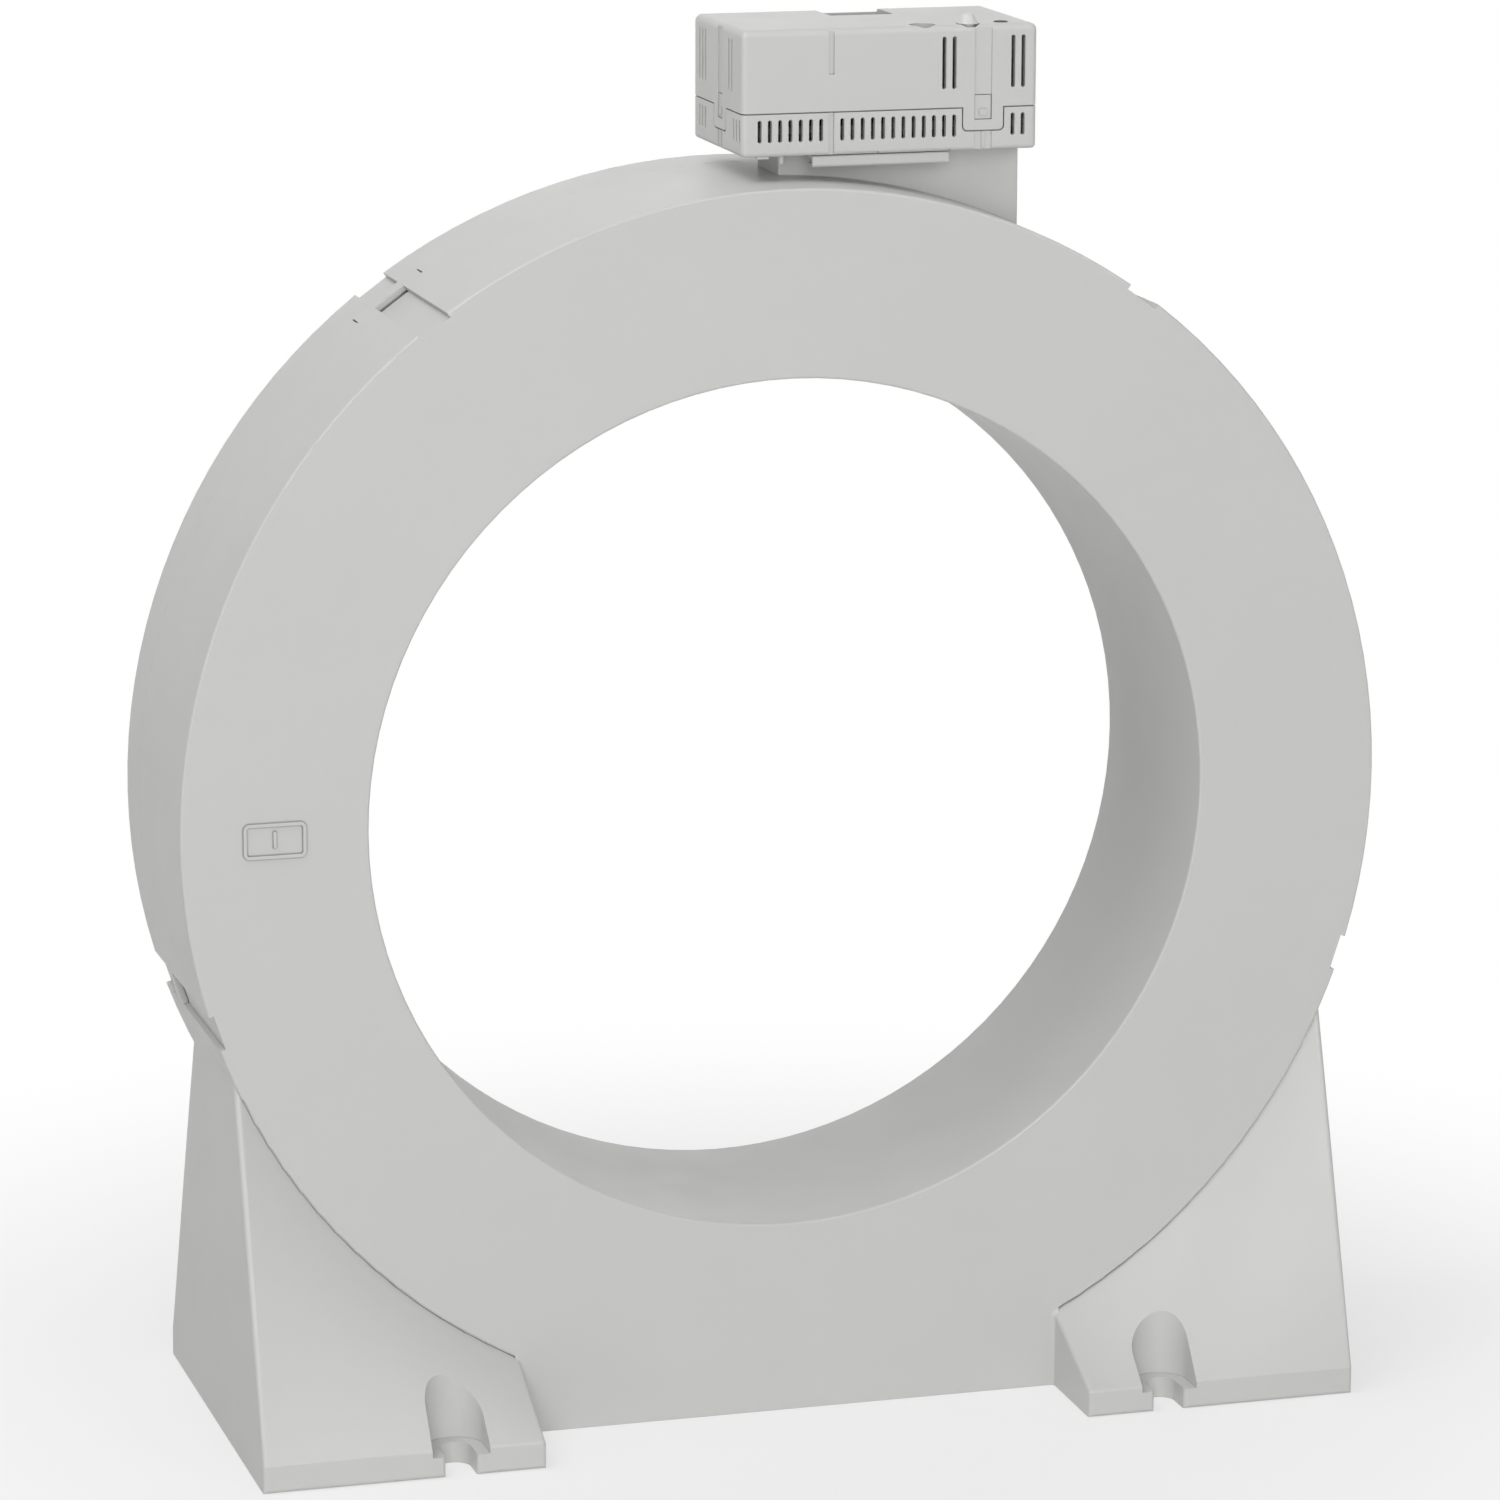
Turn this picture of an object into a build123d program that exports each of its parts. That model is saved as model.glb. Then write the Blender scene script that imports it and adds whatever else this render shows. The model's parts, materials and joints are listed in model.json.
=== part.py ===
from build123d import *
import math
import os

# Toroidal current transformer for earth-leakage monitoring: a ring housing on two feet, its axis
# along Y, with an electronics module on top. Millimetres, +Z up, the front face towards -Y.
# The origin is the centre of the base on the mounting plane.

# How far a cut runs past the face that it opens
past = 1.0
# How far apart two values may be and still name the same place
same_place = 0.01

# Ring housing
bore_radius = 105.0
ring_width = 45.6
ring_depth = 66.9
cover_depth = 15.9
shell_wall = 3.0
edge_round = 0.6
seam_clearance = 0.2
lip_gauge = 1.5
lip_reach = 3.0

# Base and feet
base_drop = 2.4
front_reach = 26.8
rear_reach = 18.3
foot_inset = 12.2
foot_width = 69.4
pad_height = 6.7
foot_round = 1.0
foot_root_round = 1.0
foot_rib = 2.2
skirt_solid_half = 24.0

# Screw notches in the feet
screw_inset = 21.0
screw_edge = 6.8
screw_notch_width = 7.7
screw_head_width = 14.2
screw_head_depth = 6.9
screw_head_setback = 0.35
screw_ledge = 5.2
screw_column_wall = 2.4
notch_corner_round = 1.0

# Snap straps that hold the rear cover, and their pockets in the rim
strap_count = 5
strap_first_angle = 54.0
strap_pocket_width = 8.8
strap_pocket_depth = 1.45
strap_loop_depth = 6.2
strap_slit = 2.0
strap_gauge = 1.7
strap_side_clearance = 0.2
strap_barb_width = 3.6
strap_barb_rise = 0.5
strap_barb_depth = 1.4
strap_barb_from_tip = 0.5
bottom_window_depth = 3.0

# Moulded marks on the ring
tick_angle = 3.77
tick_length = 5.3
tick_from_rim = 1.0
tick_width = 0.4
tick_depth = 0.8
polarity_strap = 1
plate_width = 15.2
plate_height = 8.6
plate_ridge = 0.8
plate_relief = 0.5
plate_corner = 1.5
plate_from_bore = 22.85

# Upstand that carries the module
upstand_left = 3.1
upstand_width = 60.9
upstand_depth = 17.9
upstand_rise = 6.0
upstand_round = 0.6
duct_left = 11.9
duct_width = 18.0
duct_depth = 10.0
neck_wall = 1.5
neck_height = 3.4
neck_clearance = 0.15

# Core, winding and screens inside the ring
pad_gauge = 14.0
screen_gauge = 0.8
screen_clearance = 0.2
screen_hole_radius = 4.5
winding_air = 5.0
winding_gauge = 1.4
winding_groove = 0.6
winding_sections = 16
winding_gap_angle = 2.0
case_wall = 1.5
core_clearance = 0.3
lead_radius = 0.7
lead_pitch = 2.54

# Electronics module
module_overhang = 12.6
module_width = 74.0
module_depth = 42.0
module_height = 30.2
parting_height = 10.3
parting_gap = 0.3
module_wall = 1.6
module_top_round = 1.7
module_side_round = 1.3
module_foot_round = 1.0
skin = 0.8
skin_clearance = 0.1
rim_lap = 1.0

# Vent slots: each group runs from its first slot to its last, measured along the wall
vent_width = 1.0
vent_corner = 0.3
vent_pitch = 2.555
vent_margin = 1.2
base_vent_bottom = 3.4
base_vent_top = 8.75
cover_vent_bottom = 14.9
cover_vent_top = 27.5
vents_left = (4.4, 19.8)
vents_middle_from = 25.0
vents_right = (3.6, 6.1)
cover_vents_right = (21.0, 23.5)
side_vents_front = (2.2, 7.4)
side_vents_back = (5.0, 10.2)
cover_side_vents_front = (8.9, 11.5)

# Snap latches between the module's two shells
latch_from_right = 13.6
latch_from_front = 19.1
tongue_width = 10.1
tongue_bottom = 4.85
tongue_round = 1.2
latch_channel_width = 4.35
latch_channel_depth = 0.35
latch_window_bottom = 7.35
latch_window_top = 13.4
finger_clearance = 0.15
catch_width = 1.95
catch_bottom = 8.45
catch_top = 9.97
channel_rib_width = 0.75

# Grooves and marks on the module's front
groove_from_left = 22.3
groove_width = 1.3
groove_depth = 0.5
groove_bottom = 19.3
bottom_notches = ((28.3, 34.3), (46.2, 52.3))
bottom_notch_height = 0.5
bottom_notch_depth = 1.2

# Openings in the module's top
well_from_left = 30.4
well_width = 16.0
well_depth = 14.0
well_back_wall = 1.2
well_seat_depth = 4.8
well_rim_drop = 0.8
socket_from_right = 28.0
socket_from_front = 3.7
socket_diameter = 6.4
socket_depth = 8.0
button_from_right = 16.7
button_from_front = 3.1
button_diameter = 3.1
button_clearance = 0.15
button_proud = 2.4
button_dome_diameter = 4.6
button_tip_diameter = 2.6
button_tip_round = 1.0
button_dish_diameter = 5.8
button_dish_depth = 0.65
button_cap_diameter = 5.3
button_cap_gauge = 0.4
button_flange_diameter = 3.9
button_flange_gauge = 0.8
button_stem_diameter = 2.2
button_travel = 0.5
lens_from_right = 7.8
lens_from_front = 4.9
lens_diameter = 3.5
lens_clearance = 0.05
lens_proud = 0.15
lens_flange_diameter = 4.6
lens_flange_gauge = 0.8

# Board and what stands on it
board_gauge = 1.6
board_height = 5.2
board_clearance = 0.2
post_radius = 2.4
post_from_side = 4.75
post_from_back = 4.5
post_from_left = 24.5
screw_shank_radius = 1.0
screw_head_radius = 1.9
screw_head_height = 1.3
screw_length = 4.0
screw_drive_depth = 0.6
screw_drive_reach = 1.14
screw_drive_width = 0.57
switch_width = 6.0
switch_height = 3.5
switch_plunger_radius = 0.7
switch_plunger_proud = 0.8
led_radius = 1.5
led_height = 4.4
led_rim = 0.4
led_rim_height = 0.9
header_wall = 1.0
header_depth = 11.0
header_key_width = 4.0
header_key_height = 6.0
header_below_top = 1.5
header_clearance = 0.3
pin_count = 4
pin_pitch = 3.5
pin_width = 0.8
pin_below_top = 4.0
capacitor_radius = 4.0
capacitor_height = 12.5
capacitor_rim = 0.4
capacitor_groove = (1.8, 2.6)
capacitor_groove_depth = 0.4
capacitor_places = ((12.5, 12.0), (21.8, 12.0))
choke_radius = 4.6
choke_height = 8.0
choke_flange = 1.2
choke_waist_radius = 2.6
choke_coil_setback = 0.45
choke_place = (32.5, 11.0)
controller_size = 9.0
controller_from_right = 17.0
driver_length = 6.2
driver_width = 4.4
driver_from_right = 29.0
chip_from_front = 20.5
chip_height = 1.3
chip_standoff = 0.15
chip_leg_width = 0.45
chip_leg_pitch = 1.27
chip_leg_reach = 0.9
plug_width = 8.0
plug_depth = 5.6
plug_height = 7.0
plug_wall = 1.0
plug_insert = 2.4
header_web = 1.6

# Bar that locks the module to the upstand
bar_left = 8.4
bar_length = 34.3
bar_setback = 1.05
bar_height = 3.0
bar_gauge = 0.9
bar_round = 0.7
bar_lower_flange = 4.0
bar_tongue_length = 2.0
bar_tongue_width = 8.0
bar_tongue_spacing = 18.0
bar_clearance = 0.15
peg_from_left = 10.8
peg_from_front = 3.6
peg_radius = 0.65
peg_length = 2.1
tab_from_left = 4.1
tab_from_front = 1.1
tab_width = 2.9
tab_height = 0.6
tab_depth = 2.1

# Places that follow from the sizes above
ring_radius = bore_radius + ring_width
ring_z = ring_radius + base_drop
base_depth = front_reach + ring_depth + rear_reach
ring_front = front_reach - base_depth / 2
ring_back = ring_front + ring_depth
ring_mid = (ring_front + ring_back) / 2
rim_y = ring_back - cover_depth
loop_y = rim_y - strap_loop_depth
barb_y = loop_y + strap_slit
foot_outer = ring_radius - foot_inset
foot_inner = foot_outer - foot_width
screw_x = foot_inner + screw_inset
screw_y = base_depth / 2 - screw_edge
pocket_floor = ring_radius - strap_pocket_depth
slope_y = ring_front + edge_round
chamber_inner = bore_radius + shell_wall
chamber_outer = ring_radius - shell_wall
lip_outer = chamber_outer - seam_clearance
outer_screen_radius = lip_outer - lip_gauge - screen_clearance
inner_screen_radius = chamber_inner + screen_clearance
winding_outer = outer_screen_radius - screen_gauge - winding_air
winding_inner = inner_screen_radius + screen_gauge + winding_air
winding_front = ring_front + shell_wall + pad_gauge
winding_back = ring_back - shell_wall - pad_gauge
case_outer = winding_outer - winding_gauge
case_inner = winding_inner + winding_gauge
case_front = winding_front + winding_gauge
case_back = winding_back - winding_gauge
upstand_top = ring_z + ring_radius + upstand_rise
upstand_front = ring_mid - upstand_depth / 2
duct_x = upstand_left + duct_left + duct_width / 2
module_left = upstand_left - module_overhang
module_front = ring_mid - module_depth / 2
module_top = upstand_top + module_height
board_bottom = upstand_top + board_height
board_top = board_bottom + board_gauge
strap_angles = [strap_first_angle + i * 360 / strap_count for i in range(strap_count)]
strap_bottom_angle = 270.0
latch_x = module_width - latch_from_right
socket_x = module_width - socket_from_right
button_x = module_width - button_from_right
lens_x = module_width - lens_from_right
well_y = module_depth - well_depth
post_places = [(post_from_side, module_depth / 2)]
post_places += [(module_width - post_from_side, module_depth - 2 * post_from_back)]
post_places += [(post_from_left, module_depth - post_from_back)]


# Shared helpers

def box(x0, x1, y0, y1, z0, z1):
    """A box given by its limits along each axis."""
    centre = Pos((x0 + x1) / 2, (y0 + y1) / 2, (z0 + z1) / 2)
    return centre * Box(x1 - x0, y1 - y0, z1 - z0)


def upright(y):
    """The plane across the ring's axis at depth y, its own axes along X and Z."""
    return Plane(origin=(0, y, 0), x_dir=(1, 0, 0), z_dir=(0, -1, 0))


def post(x, y, radius, z0, z1):
    """A round post that stands along Z."""
    return Pos(x, y, (z0 + z1) / 2) * Cylinder(radius, z1 - z0)


def band(r0, r1, y0, y1):
    """A ring's section, radius along X and depth along Y."""
    return Pos((r0 + r1) / 2, (y0 + y1) / 2) * Rectangle(r1 - r0, y1 - y0)


def turned(section):
    """A section turned about the ring's axis."""
    return Pos(0, 0, ring_z) * revolve(section, Axis.Y)


def at_angle(shape, angle):
    """A shape made on top of a ring round the origin, carried to an angle on the real ring."""
    return Pos(0, 0, ring_z) * Rot(0, 90 - angle, 0) * shape


def in_module(x, y):
    """A place in the module, from its left end and its front."""
    return module_left + x, module_front + y


# Feet

def arc_height(x):
    """Height of the ring's lower outline at x."""
    return ring_z - math.sqrt(ring_radius ** 2 - x ** 2)


def arc_section(y, x0, x1, z0):
    """A section under the ring that ends at the ring's outline."""
    mid = (x0 + x1) / 2
    left = (x0, arc_height(x0))
    right = (x1, arc_height(x1))
    outline = Polyline((x0, z0), (x1, z0), right)
    outline += ThreePointArc(right, (mid, arc_height(mid)), left)
    outline += Line(left, (x0, z0))
    return upright(y) * make_face(outline)


def foot_block(inset, floor):
    """A foot with its two sloping ends, or its hollow when it is set in from the skin."""
    x0 = foot_inner + inset
    x1 = foot_outer - inset
    front = slope_y + inset
    back = rim_y - inset
    pad_top = pad_height - inset
    foot = extrude(arc_section(front, x0, x1, floor), back - front, dir=(0, 1, 0))
    for near, far in ((front, inset - base_depth / 2), (back, base_depth / 2 - inset)):
        pad = Pos((x0 + x1) / 2, (floor + pad_top) / 2) * Rectangle(x1 - x0, pad_top - floor)
        foot += loft([arc_section(near, x0, x1, floor), upright(far) * pad], ruled=True)
    return foot


def rounded_edges(foot):
    """The outlines of a foot's two low ends and the edges that slope up from them."""
    ends = foot.faces().sort_by(Axis.Y)
    slopes = []
    for edge in foot.edges():
        reach = edge.bounding_box().size
        if reach.X < foot_round and reach.Y > foot_round and reach.Z > foot_round:
            slopes.append(edge)
    return ends[0].edges() + ends[-1].edges() + slopes


def screw_outline(width, back, mouth_round, setback=0):
    """A notch's outline for the front right foot, open towards the front, with a rounded inner end."""
    centre = setback - screw_y
    mouth = -base_depth / 2
    beyond = 2 * screw_edge
    outline = Pos(screw_x, centre) * Ellipse(width / 2, back)
    slot = Rectangle(width, centre - mouth + beyond)
    outline += Pos(screw_x, (centre + mouth - beyond) / 2) * slot
    if mouth_round:
        outside = Rectangle(2 * width, beyond)
        outline += Pos(screw_x, mouth - beyond / 2) * outside
        corners = [v for v in outline.vertices() if abs(v.Y - mouth) < same_place]
        inner = [v for v in corners if abs(abs(v.X - screw_x) - width / 2) < same_place]
        outline = fillet(inner, mouth_round)
    return outline


def screw_cut():
    """What a mounting screw and its head need in the front right foot."""
    shank = screw_outline(screw_notch_width, screw_notch_width / 2, notch_corner_round)
    head = screw_outline(screw_head_width, screw_head_depth, 0, screw_head_setback)
    shank = Pos(0, 0, -past) * extrude(shank, screw_ledge + 2 * past)
    return shank + Pos(0, 0, screw_ledge) * extrude(head, ring_z)


def foot_hollow():
    """The space inside the right foot, between its ribs and its screw columns."""
    hollow = foot_block(shell_wall, -past)
    tall = ring_z
    wall = screw_column_wall
    column = screw_outline(screw_head_width + 2 * wall, screw_head_depth + wall, 0, screw_head_setback)
    column = Pos(0, 0, -2 * past) * extrude(column, tall)
    hollow -= [column, mirror(column, Plane.XZ)]
    half = foot_rib / 2
    for x in (screw_x, (screw_x + foot_outer - shell_wall) / 2):
        hollow -= box(x - half, x + half, -base_depth, base_depth, -2 * past, tall)
    return hollow - box(foot_inner, foot_outer, ring_mid - half, ring_mid + half, -2 * past, tall)


def skirt_hollow():
    """The space under the ring between the solid middle and the right foot."""
    x1 = foot_inner - shell_wall
    section = arc_section(ring_front + shell_wall, skirt_solid_half, x1, -past)
    hollow = extrude(section, rim_y - ring_front - 2 * shell_wall, dir=(0, 1, 0))
    half = foot_rib / 2
    return hollow - box(0, foot_outer, ring_mid - half, ring_mid + half, -2 * past, ring_z)


def base():
    """Both feet and the skirt between them, without the ring; its corners at the front are filled."""
    foot = foot_block(0, 0)
    foot = fillet(rounded_edges(foot), foot_round)
    foot -= [screw_cut(), mirror(screw_cut(), Plane.XZ)]
    foot -= foot_hollow()
    skirt = box(-foot_inner - past, foot_inner + past, ring_front, rim_y, 0, ring_z / 2)
    skirt -= turned(band(0, ring_radius - edge_round, 2 * ring_front, 2 * ring_back))
    skirt -= [skirt_hollow(), mirror(skirt_hollow(), Plane.YZ)]
    whole = skirt + [foot, mirror(foot, Plane.YZ)]
    roots = []
    for edge in whole.edges().filter_by(Axis.Z):
        place = edge.center()
        beside = abs(abs(place.X) - foot_inner) < same_place
        if beside and abs(place.Y - ring_front) < same_place:
            roots.append(edge)
    return fillet(roots, foot_root_round)


# Ring housing

def shell_ring():
    """The front shell's ring: front wall, outer wall and the full bore wall."""
    outline = [(bore_radius, ring_back), (bore_radius, ring_front), (ring_radius, ring_front)]
    outline += [(ring_radius, rim_y), (chamber_outer, rim_y), (chamber_outer, ring_front + shell_wall)]
    outline += [(chamber_inner, ring_front + shell_wall), (chamber_inner, ring_back)]
    section = make_face(Polyline(*outline, close=True))
    return turned(fillet(section.vertices().group_by(Axis.Y)[0], edge_round))


def strap_cuts(angle):
    """Pocket, slit and tunnel for one strap, cut in the front shell's rim."""
    half = strap_pocket_width / 2
    beyond = ring_radius + past
    slit = loop_y - strap_slit
    start = ring_front - past
    if angle == strap_bottom_angle:
        start = slit - bottom_window_depth
    pocket = box(-half, half, start, loop_y, pocket_floor, beyond)
    deep = box(-half, half, slit, loop_y, chamber_outer - past, beyond)
    tunnel = box(-half, half, slit, rim_y + past, chamber_outer - past, pocket_floor)
    half = strap_barb_width / 2 + strap_side_clearance
    back = barb_y + strap_barb_depth + seam_clearance / 2
    catch = box(-half, half, barb_y - strap_side_clearance, back,
                pocket_floor - past, pocket_floor + strap_barb_rise)
    return [at_angle(cut, angle) for cut in (pocket, deep, tunnel, catch)]


def tick_marks(angle):
    """Two engraved strokes beside a strap."""
    half = tick_width / 2
    back = rim_y - tick_from_rim
    stroke = box(-half, half, back - tick_length, back, ring_radius - tick_depth, ring_radius + past)
    return [at_angle(stroke, angle - tick_angle), at_angle(stroke, angle + tick_angle)]


def polarity_frame(y_face, outward):
    """The raised frame round the polarity mark, low on the left of a face."""
    ridge = RectangleRounded(plate_width, plate_height, plate_corner)
    ridge -= RectangleRounded(plate_width - 2 * plate_ridge, plate_height - 2 * plate_ridge,
                              plate_corner - plate_ridge)
    ridge = Pos(-(bore_radius + plate_from_bore), ring_z) * ridge
    return extrude(upright(y_face) * ridge, plate_relief, dir=(0, outward, 0))


def upstand():
    """The block on the ring that carries the module, with its lead duct and neck."""
    x0 = upstand_left
    x1 = upstand_left + upstand_width
    block = box(x0, x1, upstand_front, upstand_front + upstand_depth, ring_z, upstand_top)
    block = fillet(block.edges().filter_by(Axis.Z), upstand_round)
    half_x = duct_width / 2
    half_y = duct_depth / 2
    neck = box(duct_x - half_x - neck_wall, duct_x + half_x + neck_wall,
               ring_mid - half_y - neck_wall, ring_mid + half_y + neck_wall,
               upstand_top - past, upstand_top + neck_height)
    block += fillet(neck.edges().filter_by(Axis.Z), upstand_round)
    return block - turned(band(0, chamber_outer + past, 2 * ring_front, 2 * ring_back))


def duct():
    """The way for the leads, from the chamber up through the upstand's neck."""
    half_x = duct_width / 2
    half_y = duct_depth / 2
    low = ring_z + math.sqrt(chamber_outer ** 2 - (duct_x + half_x) ** 2) - past
    return box(duct_x - half_x, duct_x + half_x, ring_mid - half_y, ring_mid + half_y,
               low, upstand_top + neck_height + past)


def housing_front():
    """The front shell with the feet and the upstand, moulded in one piece."""
    shell = shell_ring() + [base(), upstand(), polarity_frame(ring_front, -1)]
    cuts = [duct()] + bar_slots() + tick_marks(strap_angles[polarity_strap])
    for angle in strap_angles:
        cuts += strap_cuts(angle)
    return shell - cuts


def strap(angle):
    """One snap strap of the rear cover, with its barb."""
    half = strap_pocket_width / 2 - strap_side_clearance
    top = pocket_floor - seam_clearance / 2
    low = top - strap_gauge
    arm = box(-half, half, barb_y - strap_barb_from_tip, rim_y + shell_wall, low, top)
    barb_back = barb_y + strap_barb_depth
    tip = (barb_back, top + strap_barb_rise)
    outline = Polyline((barb_y, low), (barb_back, low), tip, (barb_y, top), close=True)
    barb = make_face(Plane.YZ * outline)
    barb = extrude(barb, strap_barb_width / 2, both=True)
    return at_angle(arm + barb, angle)


def housing_rear():
    """The rear cover: a ring plate with a skirt, an inner lip and the straps."""
    hole = chamber_inner + seam_clearance
    outline = [(hole, ring_back), (hole, ring_back - shell_wall), (chamber_outer, ring_back - shell_wall)]
    outline += [(chamber_outer, rim_y), (ring_radius, rim_y), (ring_radius, ring_back)]
    section = make_face(Polyline(*outline, close=True))
    corner = section.vertices().sort_by(Axis.X)[-2:].sort_by(Axis.Y)[-1]
    section = fillet(corner, edge_round)
    section += band(lip_outer - lip_gauge, lip_outer, rim_y - lip_reach, ring_back - shell_wall / 2)
    section += band(lip_outer - lip_gauge, chamber_outer + past, rim_y, ring_back - shell_wall / 2)
    cover = turned(section) + polarity_frame(ring_back, 1)
    half = strap_pocket_width / 2
    pocket = box(-half, half, rim_y - past, ring_back + past, pocket_floor, ring_radius + past)
    cover -= [at_angle(pocket, angle) for angle in strap_angles]
    return cover + [strap(angle) for angle in strap_angles]


# Screens, pads, core and winding

def outer_screen():
    """Sheet-steel screen inside the outer wall, with a hole for the leads."""
    sheet = band(outer_screen_radius - screen_gauge, outer_screen_radius,
                 ring_front + shell_wall, ring_back - shell_wall)
    hole = post(duct_x, ring_mid, screen_hole_radius, ring_z, upstand_top)
    return turned(sheet) - hole


def inner_screen():
    """Sheet-steel screen round the bore wall."""
    return turned(band(inner_screen_radius, inner_screen_radius + screen_gauge,
                       ring_front + shell_wall, ring_back - shell_wall))


def core_pad(y0, y1):
    """Foam ring that seats the wound core against a wall."""
    return turned(band(winding_inner, winding_outer, y0, y1))


def core_case():
    """The core's case: a ring channel open to the rear."""
    channel = band(case_inner, case_outer, case_front, case_back - case_wall)
    channel -= band(case_inner + case_wall, case_outer - case_wall, case_front + case_wall, case_back)
    return turned(channel)


def core_case_lid():
    """Flat lid that closes the core's case."""
    return turned(band(case_inner, case_outer, case_back - case_wall, case_back))


def tape_core():
    """The core, wound from thin strip and fixed in its case."""
    inner = case_inner + case_wall + core_clearance
    outer = case_outer - case_wall - core_clearance
    section = band(inner, outer, case_front + case_wall, case_back - case_wall - core_clearance)
    return turned(section)


def secondary_winding():
    """The winding round the case, in bundles with a shallow gap between each two."""
    full = band(winding_inner, winding_outer, winding_front, winding_back)
    full = chamfer(full.vertices(), winding_gauge / 2)
    low = band(winding_inner + winding_groove, winding_outer - winding_groove,
               winding_front + winding_groove, winding_back - winding_groove)
    hollow = band(case_inner, case_outer, case_front, case_back)
    pitch = 360 / winding_sections
    bundle = revolve(full - hollow, Axis.Y, pitch - winding_gap_angle)
    bundles = [Rot(0, i * pitch, 0) * bundle for i in range(winding_sections)]
    winding = revolve(low - hollow, Axis.Y) + bundles
    return Pos(0, 0, ring_z) * winding


def winding_leads():
    """The winding's two ends, up the duct to the plug."""
    z1 = plug_bottom()
    leads = []
    for side in (-1, 1):
        x = duct_x + side * lead_pitch / 2
        z0 = ring_z + math.sqrt(winding_outer ** 2 - (abs(x) - lead_radius) ** 2)
        leads.append(post(x, ring_mid, lead_radius, z0, z1))
    return Compound(children=leads)


# Plug and socket between the winding and the board

def plug_bottom():
    """Height of the plug's lower end."""
    return board_bottom - header_web - plug_height


def core_header():
    """Socket under the board, open downwards."""
    half_x = plug_width / 2 + plug_wall
    half_y = plug_depth / 2 + plug_wall
    z0 = board_bottom - header_web - plug_insert
    body = box(duct_x - half_x, duct_x + half_x, ring_mid - half_y, ring_mid + half_y, z0, board_bottom)
    gap = neck_clearance
    body -= box(duct_x - plug_width / 2 - gap, duct_x + plug_width / 2 + gap,
                ring_mid - plug_depth / 2 - gap, ring_mid + plug_depth / 2 + gap,
                z0 - past, board_bottom - header_web)
    return body


def core_plug():
    """Plug on the leads, pushed up into the socket."""
    z1 = board_bottom - header_web
    z0 = plug_bottom()
    body = box(duct_x - plug_width / 2, duct_x + plug_width / 2,
               ring_mid - plug_depth / 2, ring_mid + plug_depth / 2, z0, z1)
    return fillet(body.edges().filter_by(Axis.Z), upstand_round)


# Lock bar

def bar_slots():
    """Slots in the upstand's front wall for the lock bar's tongues."""
    slots = []
    for x in bar_tongues():
        half = bar_tongue_width / 2 + bar_clearance
        back = upstand_front + bar_tongue_length + bar_clearance
        low = upstand_top - 2 * bar_clearance - bar_gauge
        slots.append(box(x - half, x + half, upstand_front - past, back, low, upstand_top + past))
    return slots


def bar_tongues():
    """Where the lock bar's two tongues are along X."""
    centre = bar_left + bar_length / 2
    return [centre - bar_tongue_spacing / 2, centre + bar_tongue_spacing / 2]


def lock_bar():
    """Channel under the module's front that hooks it to the upstand."""
    top = upstand_top - bar_clearance
    bottom = upstand_top - bar_height
    front = module_front + bar_setback
    back = upstand_front
    outline = [(front, bottom), (front, top), (back, top), (back, top - bar_gauge)]
    outline += [(front + bar_gauge, top - bar_gauge), (front + bar_gauge, bottom + bar_gauge)]
    outline += [(front + bar_lower_flange, bottom + bar_gauge), (front + bar_lower_flange, bottom)]
    section = make_face(Polyline(*outline, close=True))
    outer = [v for v in section.vertices() if abs(v.X - front) < same_place]
    section = fillet(outer, bar_round)
    section = Plane(origin=(bar_left, 0, 0), x_dir=(0, 1, 0), z_dir=(1, 0, 0)) * section
    bar = extrude(section, bar_length, dir=(1, 0, 0))
    for x in bar_tongues():
        half = bar_tongue_width / 2
        bar += box(x - half, x + half, back - past, back + bar_tongue_length, top - bar_gauge, top)
    return bar


# Module shells

def wall_frames():
    """The module's four walls as planes: X along the wall, Y up, Z out of the wall."""
    right = module_left + module_width
    back = module_front + module_depth
    z = upstand_top
    front_wall = Plane(origin=(module_left, module_front, z), x_dir=(1, 0, 0), z_dir=(0, -1, 0))
    back_wall = Plane(origin=(right, back, z), x_dir=(-1, 0, 0), z_dir=(0, 1, 0))
    left_wall = Plane(origin=(module_left, back, z), x_dir=(0, -1, 0), z_dir=(-1, 0, 0))
    right_wall = Plane(origin=(right, module_front, z), x_dir=(0, 1, 0), z_dir=(1, 0, 0))
    return front_wall, back_wall, left_wall, right_wall


def on_wall(wall, s0, s1, h0, h1, d0, d1):
    """A box on a wall: along it, up it, and from depth d0 to d1 behind its face."""
    face = Pos((s0 + s1) / 2, (h0 + h1) / 2) * Rectangle(s1 - s0, h1 - h0)
    return extrude(wall * Pos(0, 0, -d1) * face, d1 - d0, dir=wall.z_dir)


def vents(wall, length, groups, h0, h1, flip):
    """Rows of narrow vent slots through one wall."""
    outline = Rectangle(vent_width, h1 - h0)
    outline = chamfer(outline.vertices(), vent_corner)
    slots = []
    for first, last in groups:
        for i in range(round((last - first) / vent_pitch) + 1):
            s = first + i * vent_pitch
            if flip:
                s = length - s
            slot = wall * Pos(s, (h0 + h1) / 2, -module_wall - past) * outline
            slots.append(extrude(slot, module_wall + 2 * past, dir=wall.z_dir))
    return slots


def from_far_end(length, group):
    """A group of vents whose distances are measured from the wall's far end."""
    near, far = group
    return length - far, length - near


def vent_rows(long_groups, side_groups, h0, h1):
    """The same vents in the front and back walls, and in the left and right ones."""
    front, back, left, right = wall_frames()
    cuts = vents(front, module_width, long_groups, h0, h1, False)
    cuts += vents(back, module_width, long_groups, h0, h1, True)
    cuts += vents(left, module_depth, side_groups, h0, h1, True)
    return cuts + vents(right, module_depth, side_groups, h0, h1, False)


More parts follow.
